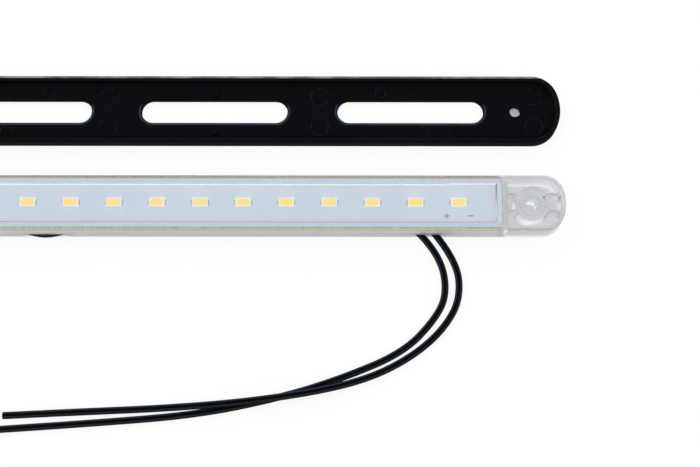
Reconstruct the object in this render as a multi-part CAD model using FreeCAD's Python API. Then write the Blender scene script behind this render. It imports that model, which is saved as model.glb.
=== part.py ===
import FreeCAD, Part
import math
import os

V = FreeCAD.Vector

# Strip dome light for a vehicle interior: a clear moulded lens housing with a screw boss at each end,
# a white board with a row of light-emitting diodes, potted from behind, two supply wires, and the black
# moulded mounting frame that the lamp sits in, lying beside it.
# Millimetres. X runs along the lamp, +Z is the lit side, the origin is the centre of the lamp's back.

# Lens housing, outside
lens_length = 232.8
lens_width = 19.4
lens_height = 10.0
lens_lean = 0.25           # how far each side leans in from back to front
lens_corner_r = 7.0        # plan radius where side turns into end
lens_end_r = 14.0          # plan radius of the bowed end
lens_edge_r = 0.8          # rounding of the front edge

# Lens housing, inside
front_wall = 1.2           # clear wall over the diodes
led_cavity_height = 1.2    # air space between board and front wall
cavity_end = 1.85          # ledge left at each end of the air space
led_cavity_width = 13.1
cavity_bevel = 0.5         # along the upper edges of the air space, seen from the front
cavity_bevel_rise = 0.38
cavity_step = 0.25         # the cavity is this much wider on each side near its ends
cavity_tip = 16.8          # length of that wider stretch
side_wall = 0.6            # beside the board, at the back
end_section = 21.55        # from the end of the lens to the chamber
chamber_corner_r = 1.0
bulkhead = 1.7             # cross wall between chamber and end pocket
pocket_wall = 1.3          # side wall of the end pocket
pocket_front = 1.6         # front wall of the end pocket

# Screw bosses of the lens
hole_inset = 11.5          # screw hole, from the end of the lens
hole_r = 1.9
boss_r = 5.9
head_r = 4.5               # recess for the screw head
head_depth = 2.8
cone_r = 3.3               # countersink below the recess
cone_depth = 1.8
rib_y = 2.9                # middle of each rib beside the boss
rib_t = 1.0

# Cable notches in the near wall
notches = ((-60.4, 16.4), (70.0, 10.8))   # middle of each notch along the lamp, and its length
notch_height = 2.9
notch_r = 2.0

# Circuit board
board_clear = 0.15
board_t = 1.6
board_corner_r = 0.8

# Light-emitting diodes
led_count = 12
led_inset = 14.68          # outermost diode, from the end of the board
led_y = 0.25               # the row of diodes stands this far off the middle of the board
led_length = 5.2
led_width = 3.0
led_height = 0.9
led_window_length = 4.6
led_window_width = 2.4
led_window_depth = 0.5
led_window_r = 0.7
led_sag = 0.06             # the filling sits this far below the rim
terminal_out = 0.25        # how far a terminal stands out at each end
terminal_width = 1.9
terminal_height = 0.32

# Parts on the back of the board
resistor_length = 3.2
resistor_width = 1.6
resistor_height = 0.6
leds_in_string = 3         # one resistor for each string of diodes
resistor_y = 4.6
diode_length = 4.3
diode_width = 2.6
diode_height = 1.1
diode_inset = 22.7         # from the end of the board
diode_y = 4.6

# Potting resin behind the board
potting_t = 1.8
bead_r = 2.3               # bead of resin round each wire
bead_drop = 1.1            # how far the bead hangs below the resin

# Wires
wire_r = 1.2
core_r = 0.42
wire_inset = (4.85, 7.85)  # where each wire leaves the board, from the end of the chamber
wire_drop = 5.6            # length over which it comes down
arc_share = 0.45

# Mounting frame
frame_clear = 0.45         # between lamp and frame along the sides
frame_end_clear = 2.0      # between lamp and frame at the ends
frame_wall = 1.9
frame_floor = 2.0
frame_height = 5.0
frame_rim = 0.4            # bevel along both edges of the rim
frame_root = 1.1           # bevel between floor and wall
frame_x = -4.0             # where the loose frame lies
frame_y = 34.8
slot_count = 3
slot_pitch = 68.4
slot_length = 51.0
slot_width = 8.2
slot_chamfer = 0.4
mark_depth = 0.1           # ejector marks in the frame's floor
mark_line = 0.4            # groove round each mark
mark_line_depth = 0.3
mark_r = 2.95
mark_y = 5.5
mark_shift = (2.6, 6.4)    # past the middle between two slots, and past the screw hole
small_mark_r = 1.75
small_mark_far = (-10.4, 6.9)   # from the middle of an outer slot
small_mark_near = (4.1, -7.2)
stub_r = 1.75
stub_height = 0.7
stub_y = 7.0
ridge_shift = 16.0         # from the middle of an outer slot
ridge_r = 0.45

# Levels and places that follow from the sizes above
eps = 0.5
cavity_top = lens_height - front_wall
seat_z = cavity_top - led_cavity_height
board_back = seat_z - board_t
potting_back = board_back - potting_t
chamber_length = lens_length - 2 * end_section
chamber_width = lens_width - 2 * side_wall
led_cavity_length = chamber_length - 2 * cavity_end
cavity_step_x = led_cavity_length / 2 - cavity_tip
hole_x = lens_length / 2 - hole_inset
board_length = chamber_length - 2 * board_clear
board_width = chamber_width - 2 * board_clear
pocket_x = chamber_length / 2 + bulkhead
led_pitch = (board_length - 2 * led_inset) / (led_count - 1)
resistor_count = led_count // leds_in_string
resistor_pitch = leds_in_string * led_pitch
diode_x = diode_inset - board_length / 2
frame_length = lens_length + 2 * (frame_end_clear + frame_wall)
frame_width = lens_width + 2 * (frame_clear + frame_wall)
mark_x = (slot_pitch / 2 + mark_shift[0], hole_x + mark_shift[1])


# Long plan outline: straight sides, corner arcs and a bowed arc at each end.
def outline(length, width, corner_r, end_r, z):
    a = length / 2
    b = width / 2
    reach = math.sqrt((end_r - corner_r) ** 2 - (b - corner_r) ** 2)
    xe = a - end_r
    xc = xe + reach
    tx = xe + end_r * reach / (end_r - corner_r)
    ty = end_r * (b - corner_r) / (end_r - corner_r)
    turn = math.atan2(b - corner_r, reach)
    mid = (math.pi / 2 + turn) / 2
    mx = xc + corner_r * math.cos(mid)
    my = b - corner_r + corner_r * math.sin(mid)

    def p(x, y):
        return V(x, y, z)

    edges = [
        Part.LineSegment(p(-xc, -b), p(xc, -b)),
        Part.Arc(p(xc, -b), p(mx, -my), p(tx, -ty)),
        Part.Arc(p(tx, -ty), p(a, 0), p(tx, ty)),
        Part.Arc(p(tx, ty), p(mx, my), p(xc, b)),
        Part.LineSegment(p(xc, b), p(-xc, b)),
        Part.Arc(p(-xc, b), p(-mx, my), p(-tx, ty)),
        Part.Arc(p(-tx, ty), p(-a, 0), p(-tx, -ty)),
        Part.Arc(p(-tx, -ty), p(-mx, -my), p(-xc, -b)),
    ]
    return Part.Wire([e.toShape() for e in edges])


def prism(wire, height):
    return Part.Face(wire).extrude(V(0, 0, height))


def block(cx, cy, z, lx, ly, lz):
    return Part.makeBox(lx, ly, lz, V(cx - lx / 2, cy - ly / 2, z))


def edges_at(shape, test):
    return [e for e in shape.Edges if test(e)]


def upright(edge):
    box = edge.BoundBox
    return box.ZLength > 1e-4 and box.XLength < 1e-4 and box.YLength < 1e-4


def rounded_block(cx, cy, z, lx, ly, lz, r):
    solid = block(cx, cy, z, lx, ly, lz)
    return solid.makeFillet(r, edges_at(solid, upright))


# Slot outline with half-round ends.
def pill(cx, cy, z, length, width):
    r = width / 2
    half = length / 2 - r
    edges = [
        Part.LineSegment(V(cx - half, cy - r, z), V(cx + half, cy - r, z)),
        Part.Arc(V(cx + half, cy - r, z), V(cx + half + r, cy, z), V(cx + half, cy + r, z)),
        Part.LineSegment(V(cx + half, cy + r, z), V(cx - half, cy + r, z)),
        Part.Arc(V(cx - half, cy + r, z), V(cx - half - r, cy, z), V(cx - half, cy - r, z)),
    ]
    return Part.Wire([e.toShape() for e in edges])


def rod(x, y, z, r, height):
    return Part.makeCylinder(r, height, V(x, y, z))


# Air space over the diodes, bevelled along its upper edges.
def air_space(cx, length, width):
    low_z = cavity_top - cavity_bevel_rise
    space = block(cx, 0, seat_z - eps, length, width, low_z - seat_z + eps)
    low = Part.makePlane(length, width, V(cx - length / 2, -width / 2, low_z)).OuterWire
    length = length - 2 * cavity_bevel
    width = width - 2 * cavity_bevel
    high = Part.makePlane(length, width, V(cx - length / 2, -width / 2, cavity_top)).OuterWire
    return space.fuse(Part.makeLoft([low, high], True, True))


def make_lens():
    back = outline(lens_length, lens_width, lens_corner_r, lens_end_r, 0)
    front = outline(
        lens_length - 2 * lens_lean, lens_width - 2 * lens_lean,
        lens_corner_r - lens_lean, lens_end_r - lens_lean, lens_height,
    )
    body = Part.makeLoft([back, front], True, True)
    rim = edges_at(body, lambda e: e.BoundBox.ZMin > lens_height - 1e-4)
    body = body.makeFillet(lens_edge_r, rim)

    chamber = rounded_block(0, 0, -eps, chamber_length, chamber_width, seat_z + eps, chamber_corner_r)
    cavity = air_space(0, led_cavity_length, led_cavity_width)
    for side in (-1, 1):
        wide = led_cavity_length / 2 - cavity_step_x
        middle = side * (cavity_step_x + wide / 2)
        tip_width = led_cavity_width + 2 * cavity_step
        cavity = cavity.fuse(air_space(middle, wide, tip_width))
    body = body.cut(chamber.fuse(cavity))

    inset = pocket_wall + lens_lean
    plan = outline(
        lens_length - 2 * inset, lens_width - 2 * inset, lens_corner_r - inset, lens_end_r - inset, -eps
    )
    hollow = prism(plan, lens_height - pocket_front + eps)
    for side in (-1, 1):
        reach = lens_length / 2
        middle = side * (pocket_x + reach / 2)
        pocket = hollow.common(block(middle, 0, -2 * eps, reach, lens_width, lens_height))
        pocket = pocket.cut(rod(side * hole_x, 0, -2 * eps, boss_r, lens_height))
        for y in (-rib_y, rib_y):
            pocket = pocket.cut(block(middle, y, -2 * eps, reach, rib_t, lens_height))
        body = body.cut(pocket)

    for side in (-1, 1):
        x = side * hole_x
        cone_z = lens_height - head_depth
        screw = rod(x, 0, -eps, hole_r, lens_height + 2 * eps)
        screw = screw.fuse(rod(x, 0, cone_z, head_r, head_depth + eps))
        screw = screw.fuse(Part.makeCone(hole_r, cone_r, cone_depth, V(x, 0, cone_z - cone_depth)))
        body = body.cut(screw)
    for x, length in notches:
        deep = lens_width / 2 - chamber_width / 2 + 2 * eps
        gap_y = -lens_width / 2 - eps + deep / 2
        gap = block(x, gap_y, -eps, length, deep, notch_height + eps)
        top = edges_at(gap, lambda e: e.BoundBox.ZMin > notch_height - 1e-4 and e.BoundBox.XLength < 1e-4)
        body = body.cut(gap.makeFillet(notch_r, top))
    return body.removeSplitter()


def make_board():
    return rounded_block(0, 0, board_back, board_length, board_width, board_t, board_corner_r)


def led_x(i):
    return (i - (led_count - 1) / 2) * led_pitch


def make_led(x):
    body = block(x, led_y, seat_z, led_length, led_width, led_height)
    floor_z = seat_z + led_height - led_window_depth
    window = rounded_block(
        x, led_y, floor_z, led_window_length, led_window_width, led_window_depth + eps, led_window_r
    )
    filling = rounded_block(
        x, led_y, floor_z, led_window_length, led_window_width, led_window_depth - led_sag, led_window_r
    )
    legs = []
    for side in (-1, 1):
        middle = x + side * (led_length + terminal_out) / 2
        legs.append(block(middle, led_y, seat_z, terminal_out, terminal_width, terminal_height))
    return body.cut(window), filling, Part.makeCompound(legs)


def resistor_place(i):
    return (i - (resistor_count - 1) / 2) * resistor_pitch


# Straight runs joined by arcs as large as the two runs beside each point allow.
def rounded_path(points):
    edges = []
    radii = []
    start = points[0]
    for i in range(1, len(points) - 1):
        corner = points[i]
        u = points[i - 1] - corner
        w = points[i + 1] - corner
        t = arc_share * min(u.Length, w.Length)
        u.normalize()
        w.normalize()
        turn = math.pi - u.getAngle(w)
        r = t / math.tan(turn / 2)
        radii.append(r)
        a = corner + u * t
        b = corner + w * t
        inward = (u + w).normalize()
        middle = corner + inward * (r / math.cos(turn / 2) - r)
        edges.append(Part.LineSegment(start, a).toShape())
        edges.append(Part.Arc(a, middle, b).toShape())
        start = b
    edges.append(Part.LineSegment(start, points[-1]).toShape())
    return Part.Wire(edges), radii


def make_wire(points):
    path, radii = rounded_path(points)
    ahead = points[1] - points[0]
    ring = Part.Wire(Part.makeCircle(wire_r, points[0], ahead))
    tube = path.makePipeShell([ring], True, False)
    ratio = tube.Volume / (math.pi * wire_r ** 2 * path.Length)
    print("wire length", round(path.Length, 1), "volume ratio", round(ratio, 4))
    print("wire radii", [round(r, 1) for r in radii])
    return tube


def make_core(points):
    back = (points[0] - points[1]).normalize()
    rise = board_back - points[0].z
    length = (rise + core_r) / back.z + core_r
    core = Part.makeCylinder(core_r, length, points[0], back)
    above = block(points[0].x, points[0].y, board_back, 6 * length, 6 * length, 2 * length)
    return core.cut(above)


# Wire routes. Each leaves the resin near one end of the chamber, comes down to the surface the lamp lies on,
# runs along the open back and out through the near wall. The second wire rides over the first once.
start_z = board_back - wire_r
start_1 = wire_inset[0] - chamber_length / 2
start_2 = wire_inset[1] - chamber_length / 2
route_1 = [
    V(start_1, -1.8, start_z), V(start_1 + wire_drop, -2.7, wire_r), V(-71.0, -6.4, wire_r),
    V(-60.0, -10.2, wire_r), V(-48.5, -5.4, wire_r), V(-4.0, -4.2, wire_r), V(40.0, -3.2, wire_r),
    V(62.5, -3.6, wire_r), V(74.1, -16.9, wire_r), V(76.2, -29.4, wire_r), V(72.2, -38.2, wire_r),
    V(61.3, -49.6, wire_r), V(41.3, -58.1, wire_r), V(21.1, -64.5, wire_r), V(-6.0, -70.2, wire_r),
    V(-40.1, -73.1, wire_r), V(-78.0, -75.6, wire_r),
]
over_z = 3 * wire_r + 0.12
route_2 = [
    V(start_2, 2.6, start_z), V(start_2 + wire_drop, 2.2, wire_r), V(-69.0, 1.2, wire_r),
    V(-12.0, 1.1, wire_r), V(44.0, 0.8, wire_r), V(65.0, 0.3, wire_r), V(79.6, -18.2, wire_r),
    V(80.7, -31.4, wire_r), V(74.9, -41.6, wire_r), V(65.2, -50.3, wire_r), V(51.2, -57.9, 1.5 * wire_r),
    V(33.0, -62.9, over_z), V(6.0, -66.7, over_z), V(-21.0, -68.4, wire_r), V(-45.0, -69.4, wire_r),
    V(-71.0, -70.7, wire_r),
]


def make_potting(wires, cores, parts):
    resin = rounded_block(0, 0, potting_back, chamber_length, chamber_width, potting_t, chamber_corner_r)
    for points in (route_1, route_2):
        ahead = (points[1] - points[0]).normalize()
        mouth = points[0] + ahead * ((points[0].z - potting_back) / -ahead.z)
        ball = Part.makeSphere(bead_r, V(mouth.x, mouth.y, potting_back - bead_drop + bead_r))
        room = block(mouth.x, mouth.y, 0, 4 * bead_r, 4 * bead_r, potting_back + eps)
        resin = resin.fuse(ball.common(room))
    for item in wires + cores + parts:
        resin = resin.cut(item)
    return resin


# Shallow round print with a groove round it, cut from the frame's floor.
def ejector_mark(x, y, r):
    line = rod(x, y, frame_floor - mark_line_depth, r, mark_line_depth + eps)
    line = line.cut(rod(x, y, 0, r - mark_line, frame_floor - mark_depth))
    return line


def make_frame():
    corner = lens_corner_r + frame_clear + frame_wall
    end = lens_end_r + frame_clear + frame_wall
    body = prism(outline(frame_length, frame_width, corner, end, 0), frame_height)
    inner = outline(
        frame_length - 2 * frame_wall, frame_width - 2 * frame_wall,
        corner - frame_wall, end - frame_wall, frame_floor,
    )
    tray = prism(inner, frame_height)
    foot = edges_at(tray, lambda e: e.BoundBox.ZMax < frame_floor + 1e-4)
    body = body.cut(tray.makeChamfer(frame_root, foot))
    rim = edges_at(body, lambda e: e.BoundBox.ZMin > frame_height - 1e-4)
    body = body.makeChamfer(frame_rim, rim)

    for i in range(slot_count):
        x = (i - (slot_count - 1) / 2) * slot_pitch
        slot = prism(pill(x, 0, -eps, slot_length, slot_width), frame_floor + eps)
        mouth = pill(x, 0, frame_floor, slot_length + 2 * slot_chamfer, slot_width + 2 * slot_chamfer)
        throat = pill(x, 0, frame_floor - slot_chamfer, slot_length, slot_width)
        body = body.cut(slot.fuse(Part.makeLoft([throat, mouth], True, True)))

    for side in (-1, 1):
        body = body.cut(rod(side * hole_x, 0, -eps, hole_r, frame_height))
        for x in mark_x:
            for y in (-mark_y, mark_y):
                body = body.cut(ejector_mark(side * x, y, mark_r))
        for x, y in (small_mark_far, small_mark_near):
            body = body.cut(ejector_mark(side * (slot_pitch + x), y, small_mark_r))
        body = body.fuse(rod(0, side * stub_y, frame_floor - eps, stub_r, stub_height + eps))
        near = -slot_width / 2 - slot_chamfer - eps
        far = -frame_width / 2 + frame_wall / 2
        ridge_at = V(side * (slot_pitch + ridge_shift), far, frame_floor)
        ridge = Part.makeCylinder(ridge_r, near - far, ridge_at, V(0, 1, 0))
        body = body.fuse(ridge)
    body = body.removeSplitter()
    body.translate(V(frame_x, frame_y, 0))
    return body


def build():
    os.makedirs("parts", exist_ok=True)
    nodes = {"lens_housing": make_lens(), "circuit_board": make_board()}
    for i in range(led_count):
        body, filling, legs = make_led(led_x(i))
        name = "led_%02d" % (i + 1)
        nodes[name + "_housing"] = body
        nodes[name + "_phosphor"] = filling
        nodes[name + "_terminals"] = legs
    fitted = []
    for i in range(resistor_count):
        chip = block(
            resistor_place(i), resistor_y, board_back - resistor_height,
            resistor_length, resistor_width, resistor_height,
        )
        nodes["resistor_%d" % (i + 1)] = chip
        fitted.append(chip)
    diode = block(diode_x, diode_y, board_back - diode_height, diode_length, diode_width, diode_height)
    nodes["protection_diode"] = diode
    fitted.append(diode)
    wires = [make_wire(route_1), make_wire(route_2)]
    cores = [make_core(route_1), make_core(route_2)]
    nodes["wire_1"], nodes["wire_2"] = wires
    nodes["wire_core_1"], nodes["wire_core_2"] = cores
    nodes["potting"] = make_potting(wires, cores, fitted)
    nodes["mounting_frame"] = make_frame()
    for name, shape in nodes.items():
        solids = shape.Solids
        ok = shape.isValid() and all(s.isClosed() and s.Volume > 0 for s in solids)
        print(name, len(solids), "solid" if ok else "BAD", round(shape.Volume, 2))
        shape.exportStep("parts/%s.step" % name)


build()
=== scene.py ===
import math

import bpy
import numpy as np
from mathutils import Matrix, Vector


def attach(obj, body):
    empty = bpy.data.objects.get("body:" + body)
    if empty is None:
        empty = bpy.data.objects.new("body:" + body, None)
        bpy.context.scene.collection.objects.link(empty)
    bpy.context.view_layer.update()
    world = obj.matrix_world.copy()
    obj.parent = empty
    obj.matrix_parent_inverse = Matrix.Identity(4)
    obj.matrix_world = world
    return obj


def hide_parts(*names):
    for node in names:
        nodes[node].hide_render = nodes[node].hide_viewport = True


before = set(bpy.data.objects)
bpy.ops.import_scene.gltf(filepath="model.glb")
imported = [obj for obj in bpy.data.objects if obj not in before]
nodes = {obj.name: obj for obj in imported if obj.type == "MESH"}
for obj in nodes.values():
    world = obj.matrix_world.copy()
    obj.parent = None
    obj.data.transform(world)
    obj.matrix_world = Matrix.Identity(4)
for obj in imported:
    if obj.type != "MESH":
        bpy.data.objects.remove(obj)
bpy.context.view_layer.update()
mm = 0.001
print("frame loaded,", len(nodes), "nodes")


class Value:  # wraps a shader socket, so that maths on it adds Math nodes
    def __init__(self, finish, socket):
        self.finish, self.socket = finish, socket

    def maths(self, operation, first, second=0.0):
        return self.finish.node("ShaderNodeMath", {"operation": operation}, {0: first, 1: second})

    def __add__(self, other): return self.maths("ADD", self, other)
    def __radd__(self, other): return self.maths("ADD", other, self)
    def __sub__(self, other): return self.maths("SUBTRACT", self, other)
    def __rsub__(self, other): return self.maths("SUBTRACT", other, self)
    def __mul__(self, other): return self.maths("MULTIPLY", self, other)
    def __rmul__(self, other): return self.maths("MULTIPLY", other, self)
    def __pow__(self, other): return self.maths("POWER", self, other)
    def __abs__(self): return self.maths("ABSOLUTE", self)
    def least(self, other): return self.maths("MINIMUM", self, other)
    def most(self, other): return self.maths("MAXIMUM", self, other)

    def step(self, low, high):  # 0 below low, 1 above high, smooth between
        return self.finish.node("ShaderNodeMapRange", {"interpolation_type": "SMOOTHSTEP"},
                                {0: self, 1: low, 2: high, 3: 0.0, 4: 1.0})

    def below(self, low, high):  # 1 below low, 0 above high
        return 1.0 - self.step(low, high)

    def twin(self, output):  # another output of the same node
        return Value(self.finish, self.socket.node.outputs[output])


class Finish:  # a material with one Principled shader, and one method that adds any other node
    def __init__(self, name, **fixed):
        self.material = bpy.data.materials.new(name)
        self.material.use_nodes = True
        self.tree = self.material.node_tree
        self.shader = self.tree.nodes["Principled BSDF"]
        for key, value in fixed.items():
            self.shader.inputs[key.replace("_", " ")].default_value = value

    def node(self, kind, settings=None, sockets=None, out=0):
        made = self.tree.nodes.new(kind)
        for key, value in (settings or {}).items():
            setattr(made, key, value)
        for key, value in (sockets or {}).items():
            self.feed(made.inputs[key], value)
        return Value(self, made.outputs[out])

    def feed(self, socket, value):
        if isinstance(value, Value):
            self.tree.links.new(value.socket, socket)
        elif socket.type == "RGBA":
            socket.default_value = (*value, 1.0)
        else:
            socket.default_value = value

    def set(self, name, value):
        self.feed(self.shader.inputs[name], value)

    def place(self):  # object coordinates in millimetres
        here = self.node("ShaderNodeTexCoord", out=3)
        return self.node("ShaderNodeVectorMath", {"operation": "SCALE"}, {0: here, "Scale": 1000.0})

    def parts(self, vector):
        split = self.node("ShaderNodeSeparateXYZ", None, {0: vector})
        return [split.twin(k) for k in range(3)]

    def noise(self, where, scale, detail=3.0, rough=0.55):
        return self.node("ShaderNodeTexNoise", None, {"Vector": where, "Scale": scale, "Detail": detail,
                                                       "Roughness": rough})

    def blend(self, factor, first, second):  # colour mix
        return self.node("ShaderNodeMix", {"data_type": "RGBA"}, {0: factor, 6: first, 7: second}, out=2)

    def bump(self, height, strength, distance):
        self.set("Normal", self.node("ShaderNodeBump", None, {"Strength": strength, "Distance": distance,
                                                               "Height": height}))


class Sky(Finish):  # the world's nodes, made in the same way
    def __init__(self, world):
        world.use_nodes = True
        self.tree = world.node_tree
        self.shader = self.tree.nodes["Background"]


# Clear moulded plastic, with very faint flow marks and fine scuffs
def clearPlastic():
    look = {"tint": (0.99, 0.993, 1.0), "ior": 1.49, "rough": 0.03, "flow": 0.02, "scuffs": 0.05,
            "ends": 0.13, "walls": 0.55, "bevel": 0.28}
    size = {"ends": (94.9, 95.3), "walls": (9.2, 9.3), "wallTop": (8.9, 9.3), "airLength": 92.5,
            "airWidth": 6.55, "bevelIn": (-0.6, -0.3), "bevelOut": (1.2, 1.5), "bevelLow": (8.0, 8.2),
            "bevelHigh": (9.6, 9.8)}
    f = Finish("clearPlastic", IOR=look["ior"], Transmission_Weight=1.0)
    where = f.place()
    x, y, z = f.parts(where)
    f.set("Base Color", look["tint"])
    flow = f.noise(where, 0.35, 2.0)
    scuffs = f.noise(where, 2.2, 4.0).step(0.62, 0.8)
    ends = abs(x).step(*size["ends"])  # the pockets at the ends are less polished
    walls = abs(y).step(*size["walls"]) * z.below(*size["wallTop"]) * (1.0 - ends)  # the long sides are matt
    # How far outside the air space's upper edges
    off = (abs(y) - size["airWidth"]).most(abs(x) - size["airLength"])
    bevel = off.step(*size["bevelIn"]) * off.below(*size["bevelOut"]) * (1.0 - ends)
    bevel = bevel * z.step(*size["bevelLow"]) * z.below(*size["bevelHigh"])
    worked = look["ends"] * ends + look["walls"] * walls + look["bevel"] * bevel
    f.set("Roughness", look["rough"] + look["flow"] * flow + look["scuffs"] * scuffs + worked)
    return f.material


# White solder mask that stops a little short of the rim, brown laminate bared there, pale cut edges
def boardMask():
    look = {"mask": (0.84, 0.91, 1.0), "shade": (0.81, 0.885, 0.98), "hem": (0.72, 0.80, 0.92),
            "brown": ((0.50, 0.41, 0.23), (0.40, 0.32, 0.20)),  # near side, far side; the near side is painted lighter, a painted difference in light
            "straw": ((0.72, 0.64, 0.46), (0.60, 0.50, 0.34)),
            "cut": (0.88, 0.87, 0.84), "speck": (0.33, 0.25, 0.2), "track": (0.42, 0.46, 0.52), "rough": 0.42}
    size = {"edgeShadeAt": 6.68, "edgeShadeWidth": (0.08, 0.16), "hem": (6.75, 7.25), "farRim": (8.70, 8.76),
            "nearRim": (8.13, 8.19), "endRim": (94.60, 94.64), "cutTop": (7.40, 7.50), "track": 3.4,
            "trackSide": (0.52, 0.6)}
    f = Finish("boardMask", Specular_IOR_Level=0.35)
    where = f.place()
    x, y, z = f.parts(where)
    cloud = f.noise(where, 0.06, 3.0).step(0.3, 0.7)
    line = abs(y + size["edgeShadeAt"]).below(*size["edgeShadeWidth"])  # darker line under the near edge of the air space: painted shade from that edge, on top of the edge of a track under the mask
    hem = abs(y).step(*size["hem"])  # painted shade: the mask is darker under the ledge of the lens
    white = f.blend(hem, f.blend(cloud, look["mask"], look["shade"]), look["hem"])
    face = f.blend(0.5 * line, white, look["track"])
    rim = y.step(*size["farRim"]).most((0.0 - y).step(*size["nearRim"])).most(abs(x).step(*size["endRim"]))
    fibre = f.noise(where, 1.6, 4.0, 0.7).step(0.35, 0.65)
    # the near side's laminate is painted lighter than the far side's: painted light
    brown, straw = (f.blend(y.step(-1.0, 1.0), *look[tone]) for tone in ("brown", "straw"))
    edge = f.blend(z.step(*size["cutTop"]), look["cut"], f.blend(fibre, brown, straw))
    cells = f.node("ShaderNodeTexVoronoi", None, {"Vector": where, "Scale": 0.11})
    chosen = f.node("ShaderNodeSeparateColor", None, {0: cells.twin("Color")}).step(0.80, 0.81)
    speck = cells.below(0.02, 0.03) * chosen  # a few stray specks
    f.set("Base Color", f.blend(speck * 0.6, f.blend(rim, face, edge), look["speck"]))
    f.set("Roughness", look["rough"] + 0.12 * f.noise(where, 1.4, 3.0) + 0.25 * rim)
    track = abs(abs(y) - size["track"]).step(*size["trackSide"])
    f.bump(track * 0.6 + 0.2 * f.noise(where, 3.0, 2.0), 0.25, 0.00004)
    return f.material


# White moulded package, with a painted glow
def packageWhite():
    look = {"white": (0.98, 0.98, 0.98), "shade": (0.95, 0.955, 0.96), "paintedGlow": (0.95, 0.97, 1.0),
            "rough": 0.38}
    f = Finish("packageWhite", Specular_IOR_Level=0.4, Emission_Strength=0.2)
    grain = f.noise(f.place(), 5.0, 3.0)
    f.set("Base Color", f.blend(grain, look["white"], look["shade"]))
    f.set("Emission Color", look["paintedGlow"])  # painted glow: the package is given a faint emission of its own
    f.set("Roughness", look["rough"] + 0.15 * grain)
    f.bump(grain, 0.15, 0.00002)
    return f.material


# Yellow phosphor in silicone, with a fine grain and a painted glow
def phosphorGel():
    look = {"yellow": (1.0, 0.78, 0.20), "deep": (0.98, 0.72, 0.15), "glow": (1.0, 0.72, 0.22), "rough": 0.30}
    f = Finish("phosphorGel", Coat_Weight=0.25, Coat_Roughness=0.1, Emission_Strength=0.28)
    grain = f.noise(f.place(), 9.0, 3.0).step(0.35, 0.65)
    f.set("Base Color", f.blend(grain, look["yellow"], look["deep"]))
    f.set("Emission Color", look["glow"])  # painted glow: a faint emission that lifts the phosphor, partly its real faint fluorescence under light
    f.set("Roughness", look["rough"] + 0.2 * grain)
    f.bump(grain, 0.1, 0.00002)
    return f.material


# Tinned terminals and solder
def tinned():
    look = {"bright": (0.62, 0.62, 0.62), "dull": (0.42, 0.42, 0.43), "rough": 0.28}
    f = Finish("tinned", Metallic=1.0)
    grain = f.noise(f.place(), 6.0, 3.0)
    f.set("Base Color", f.blend(grain, look["bright"], look["dull"]))
    f.set("Roughness", look["rough"] + 0.25 * grain)
    f.bump(grain, 0.3, 0.00003)
    return f.material


def far(one, two):  # distance from two offsets
    return (one ** 2.0 + two ** 2.0) ** 0.5


# Near-black moulded plastic with a fine spark-eroded grain. The rim is scuffed, its far side carries a
# painted highlight, and the slots' near lips and the lines round the ejector marks carry painted highlights.
def blackMoulding():
    look = {"dark": (0.0022, 0.0026, 0.0034), "scuffed": (0.016, 0.017, 0.02), "lipHighlight": (0.024, 0.034, 0.052),
            "farRimHighlight": (0.27, 0.255, 0.23), "rough": 0.36, "coat": 0.05}
    size = {"middle": (-4.0, 34.8), "rim": (4.56, 4.64), "highlightFrom": (11.10, 11.30), "floor": (1.4, 1.6),
            "slotPitch": 68.4, "slotHalf": 21.4,
            "lipIn": (4.38, 4.50), "lipOut": (4.95, 5.10), "lipFar": (1.5, 3.0),
            "largeMarks": ((36.8, 5.5), (111.3, 5.5)), "largeRadius": 2.98,
            "smallMarks": ((58.0, 6.9), (72.5, -7.2)), "smallRadius": 1.78, "ring": (0.10, 0.20)}
    f = Finish("blackMoulding", Specular_IOR_Level=0.0, Coat_Roughness=0.28)
    where = f.place()
    x, y, z = f.parts(where)
    grain = f.noise(where, 2.6, 4.0, 0.6)
    rim = z.step(*size["rim"])
    floorUp = z.step(*size["floor"])
    scuff = f.noise(where, 0.5, 5.0, 0.7).step(0.60, 0.78) * rim
    across, aside = x - size["middle"][0], y - size["middle"][1]  # from the middle of the frame
    along = abs(across).least(abs(abs(across) - size["slotPitch"]))  # from the middle of the nearest slot
    away = far((along - size["slotHalf"]).most(0.0), aside)
    # painted highlight on the lips of the slots, on the near side and round the ends
    lipHighlight = away.step(*size["lipIn"]) * away.below(*size["lipOut"]) * floorUp * aside.below(*size["lipFar"])
    large = [far(abs(across) - mx, abs(aside) - my) for mx, my in size["largeMarks"]]
    small = [far(abs(across) - mx, aside - my) for mx, my in size["smallMarks"]]
    fromLarge = abs(large[0].least(large[1]) - size["largeRadius"])
    fromSmall = abs(small[0].least(small[1]) - size["smallRadius"])
    ring = fromLarge.least(fromSmall).below(*size["ring"])  # pale line round each ejector mark, along its real edge: painted highlight
    pale = lipHighlight.most(ring * 0.45 * f.noise(where, 0.45, 2.0).step(0.35, 0.6) * floorUp)
    # painted highlight along the far side of the rim, patchy
    farRimHighlight = rim * aside.step(*size["highlightFrom"]) * (0.4 + 0.6 * f.noise(where, 0.12, 3.0).step(0.35, 0.65))
    plain = f.blend(farRimHighlight, f.blend(scuff * 0.6, look["dark"], look["scuffed"]), look["farRimHighlight"])
    f.set("Base Color", f.blend(pale, plain, look["lipHighlight"]))
    f.set("Coat Weight", look["coat"] + 0.04 * rim + 0.1 * farRimHighlight)  # the rim is polished
    f.set("Roughness", look["rough"] + 0.16 * grain - 0.08 * scuff)
    f.bump(grain, 0.18, 0.00006)
    return f.material


# Poured grey resin
def resinGrey():
    look = {"pale": (0.90, 0.895, 0.88), "grey": (0.85, 0.85, 0.84), "rough": 0.35}
    f = Finish("resinGrey", Specular_IOR_Level=0.4)
    cloud = f.noise(f.place(), 0.25, 4.0)
    f.set("Base Color", f.blend(cloud.step(0.3, 0.7), look["pale"], look["grey"]))
    f.set("Roughness", look["rough"] + 0.2 * cloud)
    f.bump(cloud, 0.3, 0.0002)
    return f.material
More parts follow.
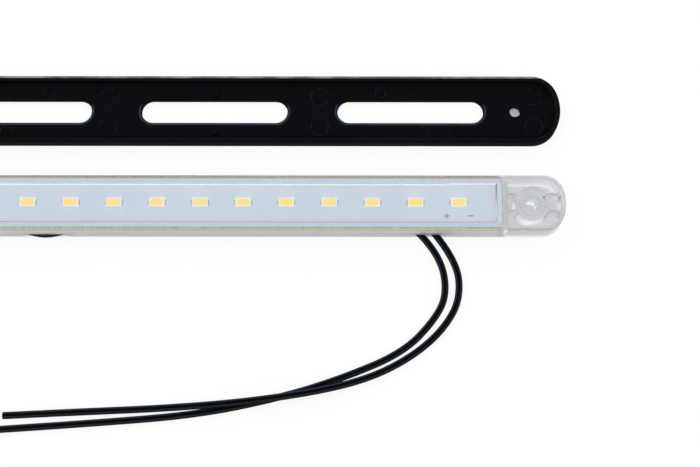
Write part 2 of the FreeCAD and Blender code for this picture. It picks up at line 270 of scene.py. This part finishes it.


# Black wire insulation with faint extrusion lines along its length, and painted highlight streaks along it
def wireJacket():
    # the blue and grey tones are the colours of the painted highlight streaks
    look = {"dark": (0.0010, 0.0013, 0.0018), "blueHighlight": (0.022, 0.032, 0.051), "grey": (0.016, 0.018, 0.022),
            "dust": (0.011, 0.011, 0.012), "left": 0.12, "right": 0.365, "rough": 0.34}
    f = Finish("wireJacket", Specular_IOR_Level=0.0, Coat_Weight=0.035, Coat_Roughness=0.22)
    along, around = f.parts(f.node("ShaderNodeUVMap"))[:2]
    drawn = f.node("ShaderNodeCombineXYZ", None, {0: along * 0.05, 1: around * 26.0})
    lines = f.node("ShaderNodeTexNoise", {"noise_dimensions": "2D"}, {"Vector": drawn, "Scale": 1.0})
    dust = f.noise(f.place(), 1.8, 4.0).step(0.62, 0.8)
    left = abs(around - look["left"]).below(0.02, 0.075)  # painted highlights: paler streaks on either side of the top
    right = abs(around - look["right"]).below(0.03, 0.09)
    plain = f.blend(right, f.blend(left, look["dark"], look["blueHighlight"]), look["grey"])
    f.set("Base Color", f.blend(dust * 0.4, plain, look["dust"]))
    f.set("Roughness", look["rough"] + 0.16 * lines + 0.1 * dust)
    f.bump(lines, 0.2, 0.00005)
    return f.material


def plainPart(name, one, two, rough, metal=0.0):
    f = Finish(name, Metallic=metal)
    grain = f.noise(f.place(), 4.0, 3.0)
    f.set("Base Color", f.blend(grain, one, two))
    f.set("Roughness", rough + 0.15 * grain)
    f.bump(grain, 0.2, 0.00003)
    return f.material


finishes = {
    "clear": clearPlastic(), "mask": boardMask(), "package": packageWhite(), "gel": phosphorGel(),
    "tin": tinned(), "black": blackMoulding(), "resin": resinGrey(), "jacket": wireJacket(),
    "copper": plainPart("copperStrand", (0.75, 0.40, 0.22), (0.60, 0.30, 0.16), 0.3, 1.0),
    "ink": plainPart("printInk", (0.11, 0.13, 0.17), (0.17, 0.19, 0.24), 0.6),
    "chip": plainPart("chipBlack", (0.02, 0.02, 0.022), (0.035, 0.035, 0.036), 0.45),
}
print("finishes made,", len(finishes))


def dress(name, finish):
    slots = nodes[name].data.materials
    slots.clear()
    slots.append(finishes[finish])


for name in nodes:
    if name.endswith("_housing") and name.startswith("led"):
        dress(name, "package")
    elif name.endswith("_phosphor"):
        dress(name, "gel")
    elif name.endswith("_terminals"):
        dress(name, "tin")
    elif name.startswith("resistor") or name == "protection_diode":
        dress(name, "chip")
    elif name.startswith("wire_core"):
        dress(name, "copper")
dress("lens_housing", "clear")
dress("mounting_frame", "black")


def meshPiece(name, points, faces, finish, uv=None, smooth=True):
    mesh = bpy.data.meshes.new(name)
    mesh.from_pydata(points, [], faces)
    mesh.update()
    mesh.polygons.foreach_set("use_smooth", [smooth] * len(mesh.polygons))
    if uv is not None:
        layer = mesh.uv_layers.new(name="along")
        corners = np.zeros(len(mesh.loops), dtype=np.int32)
        mesh.loops.foreach_get("vertex_index", corners)
        layer.data.foreach_set("uv", np.asarray(uv, float)[corners].ravel())
    mesh.materials.append(finishes[finish])
    piece = bpy.data.objects.new(name, mesh)
    bpy.context.collection.objects.link(piece)
    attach(piece, "root")
    return piece


# A slab as two grids joined round the rim: x and y run over a square grid whose corners are pulled onto arcs,
# the top is level at high, and the bottom is at low, a number or a function of x and y
def slab(length, width, low, high, corner, steps):
    u, v = np.meshgrid(np.linspace(-1, 1, steps[0]), np.linspace(-1, 1, steps[1]), indexing="ij")
    x, y = u * length / 2, v * width / 2
    dx = np.abs(x) - (length / 2 - corner)
    dy = np.abs(y) - (width / 2 - corner)
    pull = np.where((dx > 0) & (dy > 0), np.maximum(dx, dy) / np.maximum(np.hypot(dx, dy), 1e-9), 1.0)
    x = np.where(pull < 1, np.sign(x) * (length / 2 - corner + dx * pull), x)
    y = np.where(pull < 1, np.sign(y) * (width / 2 - corner + dy * pull), y)
    lowZ = low(x, y) if callable(low) else np.full_like(x, low)
    points = np.concatenate([np.stack([x, y, np.full_like(x, high)], -1).reshape(-1, 3),
                             np.stack([x, y, lowZ], -1).reshape(-1, 3)])
    n, m = steps
    index = np.arange(n * m).reshape(n, m)
    top = np.stack([index[:-1, :-1], index[1:, :-1], index[1:, 1:], index[:-1, 1:]], -1).reshape(-1, 4)
    rim = np.concatenate([index[:-1, 0], index[-1, :-1], index[:0:-1, -1], index[0, :0:-1]])
    after = np.roll(rim, -1)
    walls = np.stack([rim, rim + n * m, after + n * m, after], -1)
    faces = np.concatenate([top, top[:, ::-1] + n * m, walls])
    return points * mm, faces.tolist()


board = {"length": 189.4, "width": 18.22, "low": 6.0, "high": 7.57, "corner": 0.8, "steps": (160, 18)}
boardPiece = meshPiece("board_panel", *slab(**board), "mask", smooth=False)
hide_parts("circuit_board")

resin = {"length": 189.74, "width": 18.24, "high": 6.0, "low": 4.2, "corner": 1.02, "steps": (220, 40),
         "climb": 0.5, "reach": 0.7, "ripple": 0.05, "waves": (0.31, 0.5, 0.07),
         "beads": [(-88.9, -2.0), (-85.9, 2.5)], "beadDrop": 1.1, "beadSize": 2.0}


# Back of the resin: nearly level, climbing at the walls, with a round bead hanging where each wire comes out
def resinBack(x, y):
    wall = np.minimum(resin["width"] / 2 - np.abs(y), resin["length"] / 2 - np.abs(x))
    z = resin["low"] - resin["climb"] * np.exp(-wall / resin["reach"])
    a, b, c = resin["waves"]
    z = z + resin["ripple"] * np.sin(x * a) * np.cos(y * b + x * c)
    for bx, by in resin["beads"]:
        z = z - resin["beadDrop"] * np.exp(-((x - bx) ** 2 + (y - by) ** 2) / resin["beadSize"] ** 2)
    return z


points, faces = slab(resin["length"], resin["width"], resinBack, resin["high"], resin["corner"],
                     resin["steps"])
resinPiece = meshPiece("resin_fill", points, faces, "resin")
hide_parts("potting")
print("board and resin made")


# Solder fillets: half domes, x = a cos v cos u, y = b cos v sin u, z = c sin v, one at each terminal's end
solder = {"pitch": 14.549, "count": 12, "y": 0.25, "out": 2.86, "size": (0.2, 0.85, 0.2), "z": 7.57,
          "steps": (20, 6)}
n, m = solder["steps"]
u, v = np.meshgrid(np.linspace(0, 2 * np.pi, n, endpoint=False), np.linspace(0, np.pi / 2, m), indexing="ij")
dome = np.stack([np.cos(v) * np.cos(u), np.cos(v) * np.sin(u), np.sin(v)], -1) * solder["size"]
middles = (np.arange(solder["count"]) - (solder["count"] - 1) / 2) * solder["pitch"]
places = np.stack([np.concatenate([middles - solder["out"], middles + solder["out"]]),
                   np.full(2 * solder["count"], solder["y"]), np.full(2 * solder["count"], solder["z"])], -1)
points = (places[:, None, None] + dome[None]).reshape(-1, 3) * mm
index = np.arange(n * m).reshape(n, m)
after = np.roll(index, -1, 0)
one = np.stack([index[:, :-1], after[:, :-1], after[:, 1:], index[:, 1:]], -1).reshape(-1, 4)
faces = (one[None] + n * m * np.arange(len(places))[:, None, None]).reshape(-1, 4)
solderPiece = meshPiece("solder_fillets", points, faces.tolist(), "tin")

# Printed polarity marks: flat bars on the mask, each a hair above the last
marks = {"x": (76.0, 84.0), "y": -4.3, "size": 1.9, "thick": 0.32, "z": 7.58, "lift": 0.004}
bars = [(marks["x"][0], marks["size"], marks["thick"]), (marks["x"][0], marks["thick"], marks["size"]),
        (marks["x"][1], marks["size"], marks["thick"])]
corner = np.array([(-0.5, -0.5), (0.5, -0.5), (0.5, 0.5), (-0.5, 0.5)])
heights = marks["z"] + marks["lift"] * np.arange(len(bars))
points = np.concatenate([np.c_[corner * (bx, by) + (x, marks["y"]), np.full(4, z)]
                         for z, (x, bx, by) in zip(heights, bars)]) * mm
faces = np.arange(4 * len(bars)).reshape(-1, 4)
printPiece = meshPiece("polarity_marks", points, faces.tolist(), "ink", smooth=False)
print("solder and marks made")


# Supply wires: route points in millimetres, as NURBS control points
wires = {
    "wire_1": [(-90.0, -1.8, 4.8), (-84.4, -2.7, 1.2), (-71.0, -6.4, 1.2), (-60.0, -10.2, 1.2),
               (-48.5, -5.4, 1.2), (-4.0, -4.2, 1.2), (40.0, -3.2, 1.2), (62.5, -3.6, 1.2),
               (74.1, -16.9, 1.2), (76.2, -29.4, 1.2), (72.2, -38.2, 1.2), (61.3, -49.6, 1.2),
               (41.3, -58.1, 1.2), (21.1, -64.5, 1.2), (-6.0, -70.2, 1.2), (-40.1, -73.1, 1.2),
               (-78.0, -75.6, 1.2)],
    "wire_2": [(-87.0, 2.6, 4.8), (-81.4, 2.2, 1.2), (-69.0, 1.2, 1.2), (-12.0, 1.1, 1.2),
               (44.0, 0.8, 1.2), (65.0, 0.3, 1.2), (79.6, -18.2, 1.2), (80.7, -31.4, 1.2),
               (74.9, -41.6, 1.2), (65.2, -50.3, 1.2), (51.2, -57.9, 1.8), (33.0, -62.9, 3.72),
               (6.0, -66.7, 3.72), (-21.0, -68.4, 1.2), (-45.0, -69.4, 1.2), (-71.0, -70.7, 1.2)],
    "diameter": 2.4, "sides": 28, "fineness": 24, "nearest": 1e-7,
}


def routeLine(name, points):  # points read from the NURBS through the route, in metres
    curve = bpy.data.curves.new(name, "CURVE")
    curve.dimensions = "3D"
    curve.resolution_u = wires["fineness"]
    spline = curve.splines.new("NURBS")
    spline.points.add(len(points) - 1)
    flat = np.c_[np.array(points) * mm, np.ones(len(points))]
    spline.points.foreach_set("co", flat.ravel())
    spline.order_u = 3
    spline.use_endpoint_u = True
    holder = bpy.data.objects.new(name, curve)
    mesh = bpy.data.meshes.new_from_object(holder)
    line = np.zeros(len(mesh.vertices) * 3)
    mesh.vertices.foreach_get("co", line)
    bpy.data.objects.remove(holder)
    bpy.data.curves.remove(curve)
    bpy.data.meshes.remove(mesh)
    return line.reshape(-1, 3)


# A round profile carried along a line: each ring is centre + r cos a * side + r sin a * up, with side level
def tubeAlong(line, radius, sides):
    ahead = np.gradient(line, axis=0)
    ahead /= np.linalg.norm(ahead, axis=1, keepdims=True)
    side = np.cross(ahead, (0.0, 0.0, 1.0))
    side /= np.linalg.norm(side, axis=1, keepdims=True)
    up = np.cross(side, ahead)
    angle = np.linspace(0, 2 * np.pi, sides, endpoint=False)
    ring = np.cos(angle)[None, :, None] * side[:, None] + np.sin(angle)[None, :, None] * up[:, None]
    return (line[:, None] + ring * radius).reshape(-1, 3)


def tubeFaces(rings, sides):  # the wall between each ring and the next, and a cap at each end
    a = np.arange(rings - 1)[:, None] * sides + np.arange(sides)[None]
    b = np.arange(rings - 1)[:, None] * sides + (np.arange(sides)[None] + 1) % sides
    faces = np.stack([a, b, b + sides, a + sides], -1).reshape(-1, 4)[:, ::-1].tolist()
    faces.append(list(range(sides)))
    faces.append(list(range(rings * sides - 1, (rings - 1) * sides - 1, -1)))
    return faces


for name in ("wire_1", "wire_2"):
    line = routeLine(name + "_route", wires[name])
    line = line[np.r_[True, np.linalg.norm(np.diff(line, axis=0), axis=1) > wires["nearest"]]]
    travel = np.r_[0, np.cumsum(np.linalg.norm(np.diff(line, axis=0), axis=1))]
    around = np.arange(wires["sides"]) / wires["sides"]
    uv = np.stack(np.broadcast_arrays(travel[:, None] / mm, around[None]), -1)
    jacket = meshPiece(name + "_jacket", tubeAlong(line, wires["diameter"] / 2 * mm, wires["sides"]),
                       tubeFaces(len(line), wires["sides"]), "jacket", uv.reshape(-1, 2))
    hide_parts(name)
    print(name, "laid, length", round(float(travel[-1]), 4))


# Floor: white paper
paper = {"half": 4.0, "sunk": 0.0002, "white": 0.9,
         "camera": 0.88, "gloss": 0.8, "through": 0.26,  # how much of plain white each kind of ray is given
         "holes": [(100.9, 34.8, 0.0), (-108.9, 34.8, 0.0), (104.9, 0.0, 0.3), (-104.9, 0.0, 0.3)],
         "holeRim": (2.6, 2.9), "lampEnds": (94.9, 95.0), "lampSides": (9.60, 9.68), "lampShare": 0.3}
half = paper["half"]
floorCorners = [(-half, -half, 0), (half, -half, 0), (half, half, 0), (-half, half, 0)]
floorMesh = bpy.data.meshes.new("floor")
floorMesh.from_pydata(floorCorners, [], [(0, 1, 2, 3)])
floor = bpy.data.objects.new("floor", floorMesh)
floor.location.z = -paper["sunk"]
bpy.context.collection.objects.link(floor)
f = Finish("paperWhite", Roughness=0.9, Specular_IOR_Level=0.0)
f.set("Base Color", (paper["white"],) * 3)
x, y = f.parts(f.place())[:2]
lit = paper["camera"]
for hx, hy, share in paper["holes"]:  # shade stays under the screw holes
    lit = lit * (share + (1.0 - share) * far(x - hx, y - hy).step(*paper["holeRim"]))
under = abs(x).below(*paper["lampEnds"]) * abs(y).below(*paper["lampSides"])
lit = lit * (1.0 - under * (1.0 - paper["lampShare"]))  # and under the lamp
ray = f.node("ShaderNodeLightPath")  # the first output is the camera's ray
gloss, through = ray.twin("Is Glossy Ray"), ray.twin("Is Transmission Ray")
seen = (ray * lit).most(gloss * (1.0 - through) * paper["gloss"]).most(through * paper["through"])
glow = f.node("ShaderNodeEmission", None, {"Color": (1.0, 1.0, 1.0), "Strength": 1.0})
mixed = f.node("ShaderNodeMixShader", None, {0: seen, 1: Value(f, f.shader.outputs[0]), 2: glow})
f.feed(f.tree.nodes["Material Output"].inputs["Surface"], mixed)
floorMesh.materials.append(f.material)

# World: brightest overhead, dimmest in front
studio = {"front": 0.58, "behind": 0.9, "zenith": 1.14, "tint": (0.97, 0.99, 1.02)}
world = bpy.data.worlds.new("studioWorld")
bpy.context.scene.world = world
sky = Sky(world)
ahead, above = sky.parts(sky.node("ShaderNodeTexCoord"))[1:]  # the first output is the way looked
level = studio["front"] + (studio["behind"] - studio["front"]) * ahead.step(-0.4, 0.6)
sky.set("Strength", level + (studio["zenith"] - level) * above.step(0.5, 0.85))
sky.set("Color", studio["tint"])

# Soft lamps, aimed at the middle: place, size, power, colour
lamps = {"backSoft": ((0.0, 1.1, 0.65), (2.4, 1.1), 4.0, (0.88, 0.95, 1.0)),
         "frontSoft": ((0.0, -1.1, 0.7), (2.0, 1.0), 1.0, (1.0, 1.0, 1.0)),
         "leftSoft": ((-1.1, 0.1, 0.75), (0.9, 1.4), 3.0, (0.85, 0.93, 1.0)),
         "rightSoft": ((1.1, 0.1, 0.75), (0.9, 1.4), 2.0, (1.0, 1.0, 1.0))}
for name, (place, size, power, colour) in lamps.items():
    lamp = bpy.data.lights.new(name, "AREA")
    lamp.shape, lamp.size, lamp.size_y = "RECTANGLE", *size
    lamp.energy, lamp.color = power, colour
    holder = bpy.data.objects.new(name, lamp)
    holder.location = place
    holder.rotation_euler = (Vector((0, 0, 0)) - Vector(place)).to_track_quat("-Z", "Y").to_euler()
    bpy.context.collection.objects.link(holder)

# Camera at the photograph's viewing angle: degrees, millimetres, and focal and width in the picture's pixels
view = {"tilt": 76.5, "roll": 0.062, "distance": 420.0, "aim": (43.36, -8.515, 0.0),
        "focal": 1226.3, "width": 700, "sensor": 36.0, "clip": (0.01, 20.0)}
tilt, roll = math.radians(view["tilt"]), math.radians(view["roll"])
back = Vector((0.0, -math.cos(tilt), math.sin(tilt)))
right = Vector((1.0, 0.0, 0.0))
up = back.cross(right)
turned = [math.cos(roll) * right + math.sin(roll) * up, math.cos(roll) * up - math.sin(roll) * right, back]
stand = (Vector(view["aim"]) + back * view["distance"]) * mm
camera = bpy.data.objects.new("camera", bpy.data.cameras.new("camera"))
bpy.context.collection.objects.link(camera)
camera.data.sensor_width = view["sensor"]
camera.data.lens = view["focal"] * view["sensor"] / view["width"]
camera.data.clip_start, camera.data.clip_end = view["clip"]
camera.matrix_world = Matrix.Translation(stand) @ Matrix(turned).transposed().to_4x4()
bpy.context.scene.camera = camera
bpy.context.scene.view_settings.view_transform = "Standard"
print("camera and lights set")
